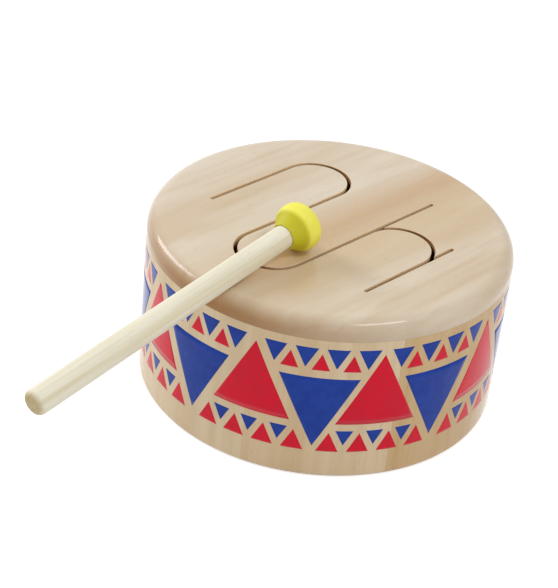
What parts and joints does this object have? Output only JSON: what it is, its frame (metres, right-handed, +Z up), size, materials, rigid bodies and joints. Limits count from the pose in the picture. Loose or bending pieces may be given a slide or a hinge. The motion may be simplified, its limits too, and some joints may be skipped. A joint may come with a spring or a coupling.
{
  "type": "tongue drum",
  "caption": "Round wooden tongue drum for a child, with slots that free tongues in its top board, a triangle border round its side and a loose round-headed mallet lying across it.",
  "frame": {"origin": "centre of the drum's underside, on the drum's axis", "axes": "+Z up along the drum's axis; X along the slots and the grain of the top board, with -X the side where the mallet's stick lies over the rim; +Y towards the rear slot"},
  "size_m": [0.2411, 0.15, 0.092],
  "materials": {
    "plate_wood": "clear satin lacquer over pale rubberwood, grain along X",
    "wall_wood": "clear satin lacquer over pale rubberwood, grain upright",
    "base_wood": "sanded bare rubberwood, grain along X",
    "stick_wood": "sanded bare maple dowel, grain along the stick",
    "head_paint": "satin yellow paint over a turned wooden bead",
    "red_border": "red ink printed on the wall, under the lacquer",
    "blue_border": "blue ink printed on the wall, under the lacquer"
  },
  "bodies": {
    "drum": {"tongue_plate": "plate_wood", "wall_stave_01": "wall_wood", "wall_stave_02": "wall_wood", "wall_stave_03": "wall_wood", "wall_stave_04": "wall_wood", "wall_stave_05": "wall_wood", "wall_stave_06": "wall_wood", "wall_stave_07": "wall_wood", "wall_stave_08": "wall_wood", "wall_stave_09": "wall_wood", "wall_stave_10": "wall_wood", "wall_stave_11": "wall_wood", "wall_stave_12": "wall_wood", "wall_stave_13": "wall_wood", "wall_stave_14": "wall_wood", "wall_stave_15": "wall_wood", "wall_stave_16": "wall_wood", "base_disc": "base_wood"},
    "mallet": {"mallet_stick": "stick_wood", "mallet_head": "head_paint"}
  },
  "joints": [
    {"name": "mallet_lift", "type": "slide", "parent": "drum", "child": "mallet", "axis": [0, 0, 1], "range_m": [0, 0.12]}
  ]
}
